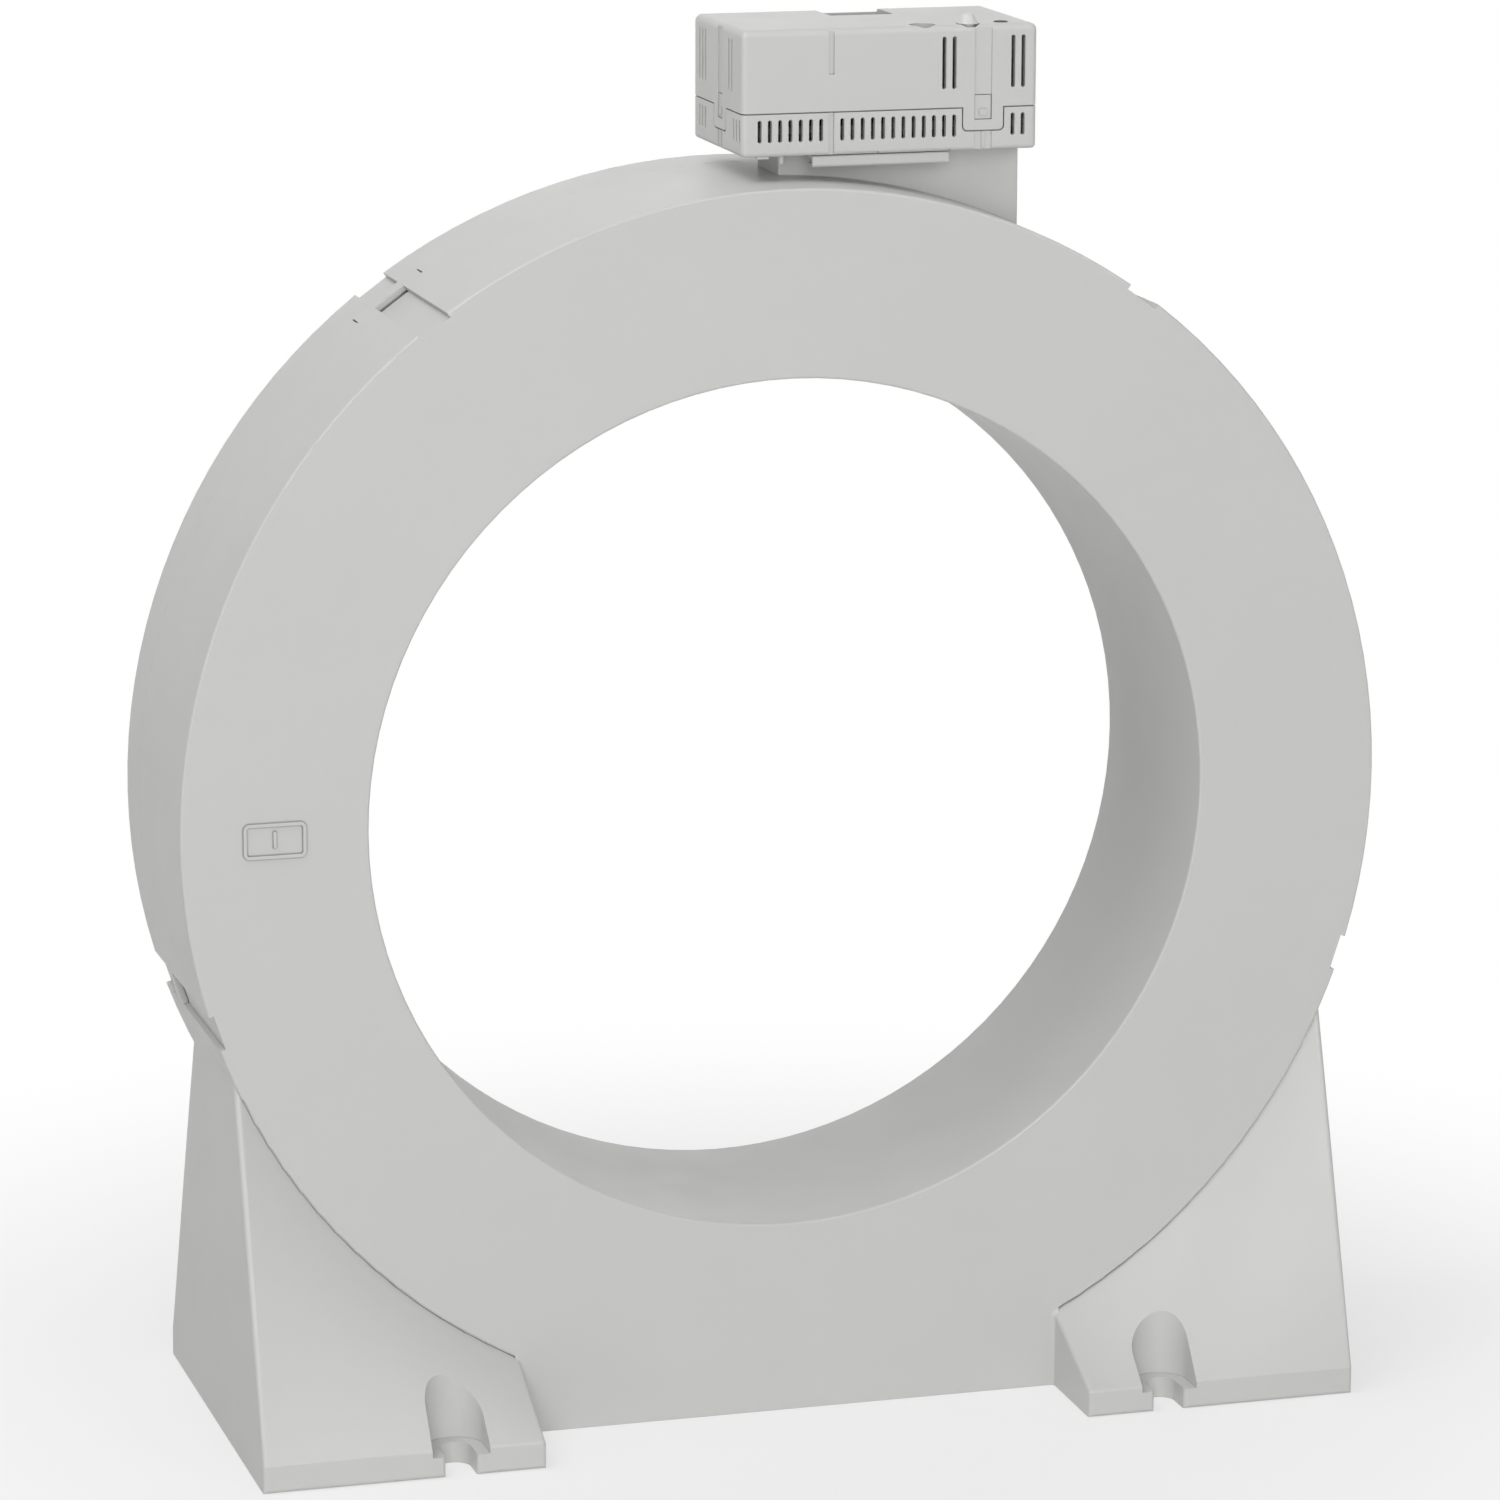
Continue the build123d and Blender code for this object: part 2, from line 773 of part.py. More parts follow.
def base_vents():
    """The vent slots in the lower shell."""
    room = latch_x - tongue_width / 2 - vent_margin - vents_middle_from
    middle = (vents_middle_from, vents_middle_from + room // vent_pitch * vent_pitch)
    long_groups = (vents_left, middle, from_far_end(module_width, vents_right))
    side_groups = (side_vents_front, from_far_end(module_depth, side_vents_back))
    return vent_rows(long_groups, side_groups, base_vent_bottom, base_vent_top)


def cover_vents():
    """The vent slots in the upper shell."""
    long_groups = [from_far_end(module_width, group) for group in (cover_vents_right, vents_right)]
    side_groups = (cover_side_vents_front, from_far_end(module_depth, side_vents_back))
    return vent_rows(long_groups, side_groups, cover_vent_bottom, cover_vent_top)


def latches():
    """Each latch's wall and the distance of its centre along that wall."""
    front, back, left, right = wall_frames()
    return [(front, latch_x), (back, module_width - latch_x),
            (left, module_depth - latch_from_front), (right, latch_from_front)]


def tongue_plate(wall, s, grow, depth):
    """The cover's tongue as a plate on a wall, or its seat in the base when grown."""
    half = tongue_width / 2 + grow
    low = tongue_bottom - grow
    high = parting_height + parting_gap
    face = Pos(s, (low + high) / 2) * Rectangle(2 * half, high - low)
    corners = face.vertices().sort_by(Axis.Y)[:2]
    face = fillet(corners, tongue_round)
    return extrude(wall * Pos(0, 0, -depth) * face, depth, dir=wall.z_dir)


def module_block(z0, z1, inset):
    """The module's outline between two heights, rounded at its upright edges."""
    block = box(module_left + inset, module_left + module_width - inset,
                module_front + inset, module_front + module_depth - inset, z0, z1)
    return fillet(block.edges().filter_by(Axis.Z), module_side_round - inset / 2)


def post_xy():
    """Where the board's posts and screws are."""
    return [in_module(x, y) for x, y in post_places]


def module_base():
    """Lower shell: vents, snap fingers, board posts and the opening for the neck."""
    z0 = upstand_top
    z1 = upstand_top + parting_height - parting_gap / 2
    shell = module_block(z0, z1, 0)
    shell = fillet(shell.edges().group_by(Axis.Z)[0], module_foot_round)
    lap = module_block(z1 - past, z1 + parting_gap / 2 + rim_lap, skin + skin_clearance)
    shell += lap
    shell -= module_block(z0 + module_wall, z1 + module_height, module_wall)
    for x, y in post_xy():
        shell += post(x, y, post_radius, z0 + module_wall / 2, board_bottom)
    cuts = base_vents()
    for x, y in post_xy():
        cuts.append(post(x, y, screw_shank_radius, board_top - screw_length, board_bottom + past))
    fingers = []
    for wall, s in latches():
        cuts.append(tongue_plate(wall, s, parting_gap, skin + skin_clearance))
        half = latch_channel_width / 2
        rib = channel_rib_width / 2
        cuts.append(on_wall(wall, s - half, s - rib, -past, tongue_bottom, -past, latch_channel_depth))
        cuts.append(on_wall(wall, s + rib, s + half, -past, tongue_bottom, -past, latch_channel_depth))
        half = latch_channel_width / 2 - finger_clearance
        high = latch_window_top - finger_clearance
        low = latch_window_bottom + finger_clearance
        fingers.append(on_wall(wall, s - half, s + half, low, high, latch_channel_depth, module_wall))
        half = catch_width / 2
        fingers.append(on_wall(wall, s - half, s + half, catch_bottom, catch_top, 0, latch_channel_depth))
    front = wall_frames()[0]
    half = groove_width / 2
    high = parting_height + past
    cuts.append(on_wall(front, groove_from_left - half, groove_from_left + half, -past, high,
                        -past, groove_depth))
    for s0, s1 in bottom_notches:
        cuts.append(on_wall(front, s0, s1, -past, bottom_notch_height, -past, bottom_notch_depth))
    half_x = duct_width / 2 + neck_wall + neck_clearance
    half_y = duct_depth / 2 + neck_wall + neck_clearance
    cuts.append(box(duct_x - half_x, duct_x + half_x, ring_mid - half_y, ring_mid + half_y,
                    z0 - past, z0 + module_wall + past))
    shell = shell - cuts + fingers
    x, y = in_module(peg_from_left, peg_from_front)
    shell += post(x, y, peg_radius, z0 - peg_length, z0 + module_wall / 2)
    x, y = in_module(tab_from_left, tab_from_front)
    root = z0 + module_wall / 2
    return shell + box(x, x + tab_width, y, y + tab_depth, z0 - tab_height, root)


def module_cover():
    """Upper shell: vents, tongues, windows and the openings in its top."""
    z0 = upstand_top + parting_height + parting_gap / 2
    z1 = module_top
    shell = module_block(z0, z1, 0)
    shell = fillet(shell.edges().group_by(Axis.Z)[-1], module_top_round)
    shell -= module_block(z0 - past, z1 - module_wall, module_wall)
    shell -= module_block(z0 - past, z0 - parting_gap / 2 + rim_lap, skin)
    adds = [tongue_plate(wall, s, 0, skin) for wall, s in latches()]
    shell += adds
    cuts = cover_vents()
    for wall, s in latches():
        s0 = s - latch_channel_width / 2
        s1 = s + latch_channel_width / 2
        high = module_height + past
        cuts.append(on_wall(wall, s0, s1, latch_window_top, high, -past, latch_channel_depth))
        high = latch_window_top
        cuts.append(on_wall(wall, s0, s1, latch_window_bottom, high, -past, module_wall + past))
    front = wall_frames()[0]
    half = groove_width / 2
    cuts.append(on_wall(front, groove_from_left - half, groove_from_left + half, groove_bottom,
                        module_height + past, -past, groove_depth))
    shell += socket_tube()
    return shell - cuts - top_openings()


def socket_tube():
    """The blind round socket's wall and floor under the cover's top."""
    x, y = in_module(socket_x, socket_from_front)
    low = module_top - socket_depth - skin
    tube = post(x, y, socket_diameter / 2 + skin, low, module_top - module_wall / 2)
    return tube - box(x - socket_diameter, x + socket_diameter, module_front - socket_diameter,
                      module_front + skin, low - past, module_top)


def top_openings():
    """Everything that is cut in the cover's top."""
    x, y = in_module(well_from_left, well_y)
    back = module_front + module_depth
    well = box(x, x + well_width, y, back - well_back_wall, module_top - well_seat_depth, module_top + past)
    rim = box(x, x + well_width, y, back + past, module_top - well_rim_drop, module_top + past)
    x, y = in_module(socket_x, socket_from_front)
    socket = post(x, y, socket_diameter / 2, module_top - socket_depth, module_top + past)
    x, y = in_module(button_x, button_from_front)
    dish = post(x, y, button_dish_diameter / 2, module_top - button_dish_depth, module_top + past)
    hole = post(x, y, button_diameter / 2 + button_clearance, module_top - module_wall, module_top)
    x, y = in_module(lens_x, lens_from_front)
    lens = post(x, y, lens_diameter / 2 + lens_clearance, module_top - module_wall - past, module_top + past)
    return [well, rim, socket, dish, hole, lens]


# Board and its parts

def main_board():
    """The printed circuit board on the base's posts."""
    inset = module_wall + board_clearance
    plate = module_block(board_bottom, board_top, inset)
    cuts = [post(x, y, screw_shank_radius + board_clearance, board_bottom - past, board_top + past)
            for x, y in post_xy()]
    return plate - cuts


def board_screws():
    """The screws that hold the board, each with a cross slot."""
    screws = []
    for x, y in post_xy():
        shank = post(x, y, screw_shank_radius, board_top - screw_length, board_top + past)
        top = board_top + screw_head_height
        head = post(x, y, screw_head_radius, board_top, top)
        reach = screw_drive_reach
        arm = screw_drive_width / 2
        low = top - screw_drive_depth
        head -= [box(x - reach, x + reach, y - arm, y + arm, low, top + past),
                 box(x - arm, x + arm, y - reach, y + reach, low, top + past)]
        screws.append(shank + head)
    return Compound(children=screws)


def tact_switch():
    """Switch body under the test button, with the hole that its plunger sinks into."""
    x, y = in_module(button_x, button_from_front)
    half_x = switch_width / 2
    half_y = button_from_front - module_wall - board_clearance
    top = board_top + switch_height
    body = box(x - half_x, x + half_x, y - half_y, y + half_y, board_top, top)
    hole_radius = switch_plunger_radius + button_clearance
    return body - post(x, y, hole_radius, top - 2 * button_travel - past, top + past)


def switch_plunger():
    """The switch's own plunger, pushed down by the test button."""
    x, y = in_module(button_x, button_from_front)
    top = board_top + switch_height
    return post(x, y, switch_plunger_radius, top - past, top + switch_plunger_proud)


def test_button():
    """Test button: domed cap, shaft with a catch under the cover's top, and stem to the switch."""
    x, y = in_module(button_x, button_from_front)
    radius = button_diameter / 2
    ceiling = module_top - module_wall
    height = button_proud - button_cap_gauge / 2
    dome = Cone(button_dome_diameter / 2, button_tip_diameter / 2, height)
    dome = fillet(dome.edges().group_by(Axis.Z)[-1], button_tip_round)
    cap = post(x, y, button_cap_diameter / 2, module_top, module_top + button_cap_gauge)
    cap = chamfer(cap.edges().group_by(Axis.Z)[-1], button_cap_gauge / 2)
    nub = post(x, y, radius, ceiling - button_flange_gauge, module_top + button_cap_gauge)
    nub += [cap, Pos(x, y, module_top + button_proud - height / 2) * dome]
    nub += post(x, y, button_flange_diameter / 2, ceiling - button_flange_gauge, ceiling)
    wall_side = module_front + module_wall + button_clearance
    nub -= box(x - radius * 2, x + radius * 2, module_front, wall_side,
               ceiling - 2 * button_flange_gauge, ceiling + button_travel + button_clearance)
    low = board_top + switch_height + switch_plunger_proud
    stem = post(x, y, button_stem_diameter / 2, low, ceiling)
    return nub + stem


def light_pipe():
    """Smoked lens and light pipe over the status light."""
    x, y = in_module(lens_x, lens_from_front)
    ceiling = module_top - module_wall
    rod = post(x, y, lens_diameter / 2, board_top + led_height + button_clearance, module_top + lens_proud)
    rod = chamfer(rod.edges().group_by(Axis.Z)[-1], lens_proud)
    return rod + post(x, y, lens_flange_diameter / 2, ceiling - lens_flange_gauge, ceiling)


def status_led():
    """Round status light with its rim, on the board."""
    x, y = in_module(lens_x, lens_from_front)
    dome = post(x, y, led_radius, board_top, board_top + led_height)
    dome = chamfer(dome.edges().group_by(Axis.Z)[-1], led_radius / 2)
    return dome + post(x, y, led_radius + led_rim, board_top, board_top + led_rim_height)


def header_limits():
    """The terminal header's outline in the well."""
    x, y = in_module(well_from_left, well_y)
    gap = header_clearance
    back = module_front + module_depth - well_back_wall
    inner_back = module_front + module_depth - module_wall
    return x + gap, x + well_width - gap, y + gap, min(back, inner_back) - gap


def terminal_header():
    """The supply and signal header: an open box over the board, with holes for its pins."""
    x0, x1, y0, y1 = header_limits()
    top = module_top - header_below_top
    body = box(x0, x1, y0, y1, board_top, top)
    body -= box(x0 + header_wall, x1 - header_wall, y0 + header_wall, y1 - header_wall,
                top - header_depth, top + past)
    middle = (x0 + x1) / 2
    half = header_key_width / 2
    low = top - header_key_height
    return body - box(middle - half, middle + half, y0 - past, y0 + header_wall + past, low, top + past)


def terminal_pins():
    """The header's pins, from its floor up into the well."""
    x0, x1, y0, y1 = header_limits()
    middle = (x0 + x1) / 2
    y = (y0 + y1) / 2
    half = pin_width / 2
    pins = []
    for i in range(pin_count):
        x = middle + (i - (pin_count - 1) / 2) * pin_pitch
        top = module_top - header_below_top
        pin = box(x - half, x + half, y - half, y + half, top - header_depth, top - pin_below_top)
        pins.append(chamfer(pin.edges().group_by(Axis.Z)[-1], pin_width / 4))
    return Compound(children=pins)


def supply_capacitors():
    """Electrolytic capacitors with rolled rims and a groove near the foot."""
    cans = []
    for place in capacitor_places:
        x, y = in_module(*place)
        r = capacitor_radius
        can = post(x, y, r, board_top, board_top + capacitor_height)
        can = chamfer(can.edges().filter_by(GeomType.CIRCLE), capacitor_rim)
        low, high = capacitor_groove
        groove = post(x, y, r + past, board_top + low, board_top + high)
        groove -= post(x, y, r - capacitor_groove_depth, board_top, board_top + capacitor_height)
        cans.append(can - groove)
    return Compound(children=cans)


def supply_choke():
    """Drum choke: two flanges and a wound waist."""
    x, y = in_module(*choke_place)
    drum = post(x, y, choke_radius, board_top, board_top + choke_flange)
    drum += post(x, y, choke_radius, board_top + choke_height - choke_flange, board_top + choke_height)
    return drum + post(x, y, choke_waist_radius, board_top, board_top + choke_height)


def choke_coil():
    """The choke's copper coil round the drum's waist."""
    x, y = in_module(*choke_place)
    radius = choke_radius - choke_coil_setback
    top = board_top + choke_height
    coil = post(x, y, radius, board_top + choke_flange, top - choke_flange)
    return coil - post(x, y, choke_waist_radius, board_top, top)


def chip(place, length, width, sides):
    """A flat chip with legs bent down to the board, on two sides or four."""
    x, y = in_module(*place)
    body = box(x - length / 2, x + length / 2, y - width / 2, y + width / 2,
               board_top + chip_standoff, board_top + chip_height)
    body = chamfer(body.edges().group_by(Axis.Z)[-1], chip_standoff)
    parts = []
    for axis_angle, span, reach in ((0, length, width), (90, width, length))[:sides]:
        count = int((span - chip_leg_pitch) / chip_leg_pitch)
        for i in range(count):
            s = (i - (count - 1) / 2) * chip_leg_pitch
            leg = box(s - chip_leg_width / 2, s + chip_leg_width / 2, -reach / 2 - chip_leg_reach,
                      reach / 2 + chip_leg_reach, board_top, board_top + chip_standoff * 2)
            parts.append(Pos(x, y, 0) * Rot(0, 0, axis_angle) * leg)
    return body + parts


def controller_chip():
    """The square controller with legs on four sides."""
    place = (module_width - controller_from_right, chip_from_front)
    return chip(place, controller_size, controller_size, 2)


def driver_chip():
    """The small output driver with legs on two sides."""
    place = (module_width - driver_from_right, chip_from_front)
    return chip(place, driver_length, driver_width, 1)


# Every piece under the name of its file
pieces = {
    "housing_front": housing_front,
    "housing_rear": housing_rear,
    "outer_screen": outer_screen,
    "inner_screen": inner_screen,
    "front_core_pad": lambda: core_pad(ring_front + shell_wall, winding_front),
    "rear_core_pad": lambda: core_pad(winding_back, ring_back - shell_wall),
    "core_case": core_case,
    "core_case_lid": core_case_lid,
    "tape_core": tape_core,
    "secondary_winding": secondary_winding,
    "winding_leads": winding_leads,
    "core_plug": core_plug,
    "core_header": core_header,
    "module_base": module_base,
    "module_cover": module_cover,
    "lock_bar": lock_bar,
    "main_board": main_board,
    "board_screws": board_screws,
    "terminal_header": terminal_header,
    "terminal_pins": terminal_pins,
    "status_led": status_led,
    "light_pipe": light_pipe,
    "tact_switch": tact_switch,
    "switch_plunger": switch_plunger,
    "test_button": test_button,
    "supply_capacitors": supply_capacitors,
    "supply_choke": supply_choke,
    "choke_coil": choke_coil,
    "controller_chip": controller_chip,
    "driver_chip": driver_chip,
}

os.makedirs("parts", exist_ok=True)
for name, make in pieces.items():
    export_step(make(), f"parts/{name}.step")
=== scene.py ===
import json
import math

import bpy
from mathutils import Matrix, Vector


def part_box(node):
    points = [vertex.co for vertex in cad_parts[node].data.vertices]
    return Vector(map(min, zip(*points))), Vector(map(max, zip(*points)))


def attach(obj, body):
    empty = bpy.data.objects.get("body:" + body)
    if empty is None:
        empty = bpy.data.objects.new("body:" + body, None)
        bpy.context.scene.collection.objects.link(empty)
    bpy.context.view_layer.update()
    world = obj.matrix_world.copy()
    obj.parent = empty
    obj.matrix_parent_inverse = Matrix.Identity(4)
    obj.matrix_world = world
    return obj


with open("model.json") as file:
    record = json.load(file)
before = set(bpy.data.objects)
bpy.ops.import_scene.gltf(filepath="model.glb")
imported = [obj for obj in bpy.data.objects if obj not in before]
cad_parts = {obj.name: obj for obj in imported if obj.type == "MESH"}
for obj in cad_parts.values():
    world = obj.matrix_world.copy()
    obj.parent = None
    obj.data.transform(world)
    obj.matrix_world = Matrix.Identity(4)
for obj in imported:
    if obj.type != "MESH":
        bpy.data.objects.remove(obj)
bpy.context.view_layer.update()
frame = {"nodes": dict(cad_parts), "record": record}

# The camera's place, solved from the ring's outlines in the photograph; metres and degrees
photo_width = 1500
focal_pixels = 6290.9
sensor_width = 36.0
camera_target = Vector((-0.01073, -0.0292, 0.16789))
camera_distance = 1.51772
camera_azimuth = -16.274
camera_elevation = 12.768
camera_roll = 0.151
camera_near = 0.05
camera_far = 50.0

# The floor lies a hair under the feet. To the eye it is white by white_share up to shadow_reach
# from the object's middle, and wholly white from white_from on; metres and shares
floor_size = 12.0
floor_grey = 0.75
floor_roughness = 0.9
floor_drop = 0.0001
shadow_reach = 0.1
white_from = 0.36
white_share = 0.6

# Light: the world's strength, and round lamps that all face one point
world_light = 0.165
lamp_aim = (0.0, 0.0, 0.15)
lamps = {
    # name: place, size in metres, watts
    "front_lamp": ((-0.5, -2.4, 0.7), 1.6, 28.5),
    "right_lamp": ((0.9, -1.9, 1.9), 1.6, 8.5),
    "left_lamp": ((-1.2, -0.3, 2.2), 1.6, 21.0),
    "top_lamp": ((-0.3, 0.2, 2.2), 1.8, 6.0),
    "back_lamp": ((0.3, 2.4, 0.2), 1.6, 9.0),
}

# Raised numbers in the middles of the two polarity frames; metres. height_to_size is a font's
# size over the height of its figures, and shell_wall lies between the outer screen's end and
# the ring's face
number_height = 0.0040
height_to_size = 1.4
number_relief = 0.0004
number_bevel = 0.0001
polarity_x = -0.12785
shell_wall = 0.003
polarity_faces = {"front_number": ("1", "front"), "rear_number": ("2", "rear")}

# Painted shade in the housing's corners and seams: its largest share, how far it looks for a
# wall, how much of the colour it leaves, and the shares of open air at which it starts and is
# full. The fine lines of the polarity frames, within plate_reach of their middles, get more
# painted shade
housing_painted_shade = 0.8
painted_shade_reach = 0.0005
painted_shade_tone = 0.35
painted_shade_starts = 0.8
painted_shade_full = 0.2
plate_reach = 0.012
plate_painted_shade_starts = 1.0
plate_painted_shade_full = 0.6

# Mouldings: patches of slow change in colour and sheen, and the radius of softened edges; metres
tone_patch = 0.04
sheen_patch = 0.012
moulding_edge = 0.00015

# Inner pieces: ends of the strip's layers, wires, foam cells, glass weave, copper tracks, the
# bare ends of the capacitors, and clear plastic; metres, counts and shares
layers_per_metre = 4000.0
wires_round_core = 1400
wire_wander = 0.0006
foam_cell = 0.0012
weave_size = 0.0006
weave_height = 0.2
track_pitch = 0.006
track_share = 0.06
track_paleness = 1.9
can_end_height = 0.0004
can_end_metal = (190, 192, 195)
acrylic_ior = 1.49


# Colours

def linear(red, green, blue):
    """A screen colour from 0 to 255 as the shader's own numbers."""
    shares = [value / 255 for value in (red, green, blue)]
    curve = [s / 12.92 if s <= 0.04045 else ((s + 0.055) / 1.055) ** 2.4 for s in shares]
    return (*curve, 1.0)


def shade(colour, share):
    """A colour made darker or lighter by a share of itself."""
    return (*(min(1.0, value * share) for value in colour[:3]), 1.0)


# Shader helpers

def add(tree, kind, values=None, **settings):
    """A new shader node with its settings, and a number or a link at each named input."""
    made = tree.nodes.new("ShaderNode" + kind)
    for key, value in settings.items():
        setattr(made, key, value)
    for key, value in (values or {}).items():
        if isinstance(value, bpy.types.NodeSocket):
            tree.links.new(value, made.inputs[key])
        else:
            made.inputs[key].default_value = value
    return made


def math_node(tree, operation, a, b=0.0):
    """The result of one sum on two values."""
    return add(tree, "Math", {0: a, 1: b}, operation=operation).outputs[0]


def vector_node(tree, operation, a, b=(0.0, 0.0, 0.0)):
    """The node of one sum on two vectors."""
    return add(tree, "VectorMath", {0: a, 1: b}, operation=operation)


def spread(tree, value, low, high):
    """A 0 to 1 value spread between low and high."""
    made = add(tree, "MapRange", {"Value": value, "To Min": low, "To Max": high})
    return made.outputs["Result"]


def blend(tree, factor, first, second):
    """A colour between two, by a factor from 0 to 1; inputs 6 and 7 are the node's colours."""
    made = add(tree, "Mix", {"Factor": factor, 6: first, 7: second}, data_type="RGBA")
    return made.outputs[2]


def noise(tree, where, size, detail=2.0, roughness=0.5):
    """Noise whose patches are about size metres across."""
    values = {"Vector": where, "Scale": 1 / size, "Detail": detail, "Roughness": roughness}
    return add(tree, "TexNoise", values).outputs["Fac"]


def ripple(tree, value, per_unit):
    """A smooth 0 to 1 wave that repeats per_unit times in each unit of a value."""
    phase = math_node(tree, "MULTIPLY", value, per_unit * 2 * math.pi)
    return spread(tree, math_node(tree, "SINE", phase), 0.0, 1.0)


def start(name, colour, metallic=0.0):
    """A new material: its shader tree, its shader, and where a point lies on the piece."""
    made = bpy.data.materials.new(name)
    made.use_nodes = True
    tree = made.node_tree
    shader = tree.nodes["Principled BSDF"]
    shader.inputs["Base Color"].default_value = colour
    shader.inputs["Metallic"].default_value = metallic
    where = add(tree, "TexCoord").outputs["Object"]
    return made, tree, shader, where


def paint(tree, shader, colour):
    """Links a colour to the shader."""
    tree.links.new(colour, shader.inputs["Base Color"])


def tint(tree, shader, colour, factor, amount):
    """Lets the colour drift between darker and lighter by a factor from 0 to 1."""
    mixed = blend(tree, factor, shade(colour, 1 - amount), shade(colour, 1 + amount))
    paint(tree, shader, mixed)
    return mixed


def rough(tree, shader, factor, low, high):
    """Lets the roughness drift between two values by a factor from 0 to 1."""
    tree.links.new(spread(tree, factor, low, high), shader.inputs["Roughness"])


def relief(tree, shader, height, depth, edge=0.0):
    """Relief of some metres from a 0 to 1 height, over edges that are softened by a radius."""
    bump = add(tree, "Bump", {"Height": height, "Distance": depth, "Strength": 1.0})
    if edge:
        soft = add(tree, "Bevel", {"Radius": edge}, samples=6)
        tree.links.new(soft.outputs["Normal"], bump.inputs["Normal"])
    tree.links.new(bump.outputs["Normal"], shader.inputs["Normal"])


# Places on the object

def plate_height():
    """The height of both polarity frames' middles, which is that of the ring's axis."""
    low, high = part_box("outer_screen")
    return (low.z + high.z) / 2


def by_a_plate(tree, where):
    """One near the line through the middles of the two polarity frames, else zero."""
    moved = vector_node(tree, "SUBTRACT", where, (polarity_x, 0.0, plate_height()))
    flat = vector_node(tree, "MULTIPLY", moved.outputs["Vector"], (1.0, 0.0, 1.0))
    away = vector_node(tree, "LENGTH", flat.outputs["Vector"])
    return math_node(tree, "LESS_THAN", away.outputs["Value"], plate_reach)


def round_the_ring(tree, where):
    """A point's angle round the ring's axis as 0 to 1, and its distance from that axis."""
    low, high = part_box("tape_core")
    moved = vector_node(tree, "SUBTRACT", where, tuple((low + high) / 2))
    parts = add(tree, "SeparateXYZ", {0: moved.outputs["Vector"]}).outputs
    flat = add(tree, "CombineXYZ", {"X": parts["X"], "Y": parts["Z"]}).outputs[0]
    turn = add(tree, "TexGradient", {0: flat}, gradient_type="RADIAL")
    reach = vector_node(tree, "LENGTH", flat)
    return turn.outputs["Fac"], reach.outputs["Value"]


# Finishes

def corner_painted_shade(tree, where, colour, mixed, painted_shade_amount):
    """Painted shade: a colour darkened where a wall stands close by, as in corners and seams."""
    open_air = add(tree, "AmbientOcclusion", {"Distance": painted_shade_reach}, samples=8)
    plate = by_a_plate(tree, where)
    shut = add(tree, "MapRange", {
        "Value": open_air.outputs["AO"],
        "From Min": spread(tree, plate, painted_shade_starts, plate_painted_shade_starts),
        "From Max": spread(tree, plate, painted_shade_full, plate_painted_shade_full),
        "To Min": 0.0,
        "To Max": painted_shade_amount,
    })
    return blend(tree, shut.outputs["Result"], mixed, shade(colour, painted_shade_tone))


def moulded(name, colour, low, high, grain=0.0005, depth=0.00001, edge=moulding_edge, painted_shade_amount=0.0):
    """Moulded plastic: fine grain, slow drift of colour and sheen, painted shade in the corners.
    """
    made, tree, shader, where = start(name, colour)
    slow = noise(tree, where, tone_patch, detail=3.0)
    fine = noise(tree, where, grain, roughness=0.6)
    mixed = tint(tree, shader, colour, slow, amount=0.02)
    # painted shade in the corners and seams, where walls stand close by
    if painted_shade_amount:
        paint(tree, shader, corner_painted_shade(tree, where, colour, mixed, painted_shade_amount))
    rough(tree, shader, noise(tree, where, sheen_patch, detail=3.0), low, high)
    relief(tree, shader, fine, depth, edge)
    return made


def brushed(name, colour, low, high, stretch=(1.0, 1.0, 1.0)):
    """Bare metal with grinding lines, drawn out where stretch is small."""
    made, tree, shader, where = start(name, colour, metallic=1.0)
    drawn = add(tree, "Mapping", {"Vector": where, "Scale": stretch}).outputs["Vector"]
    lines = noise(tree, drawn, size=0.0004, detail=3.0, roughness=0.7)
    tint(tree, shader, colour, noise(tree, where, size=0.02, detail=3.0), amount=0.12)
    rough(tree, shader, lines, low, high)
    relief(tree, shader, lines, depth=0.000004)
    return made


def wound_strip(name, colour, low, high):
    """Strip wound on itself: its thin edges show as rings on the two flat ends."""
    made, tree, shader, where = start(name, colour, metallic=1.0)
    _, reach = round_the_ring(tree, where)
    layers = ripple(tree, reach, layers_per_metre)
    tint(tree, shader, colour, layers, amount=0.18)
    rough(tree, shader, noise(tree, where, size=0.003, detail=3.0), low, high)
    relief(tree, shader, layers, depth=0.00001)
    return made


def wire_wound(name, colour, low, high):
    """Enamelled wire laid round the core, one wire beside the next."""
    made, tree, shader, where = start(name, colour, metallic=1.0)
    turn, _ = round_the_ring(tree, where)
    wander = math_node(tree, "MULTIPLY", noise(tree, where, size=0.01), wire_wander)
    strands = ripple(tree, math_node(tree, "ADD", turn, wander), wires_round_core)
    tint(tree, shader, colour, strands, amount=0.25)
    rough(tree, shader, noise(tree, where, size=0.004), low, high)
    relief(tree, shader, strands, depth=0.00012)
    shader.inputs["Coat Weight"].default_value = 0.5
    return made


def foam(name, colour, low, high):
    """Closed-cell foam: small round cells with soft edges."""
    made, tree, shader, where = start(name, colour)
    cells = add(tree, "TexVoronoi", {"Vector": where, "Scale": 1 / foam_cell}).outputs["Distance"]
    tint(tree, shader, colour, cells, amount=0.3)
    rough(tree, shader, noise(tree, where, size=0.006), low, high)
    relief(tree, shader, cells, depth=0.0002)
    return made


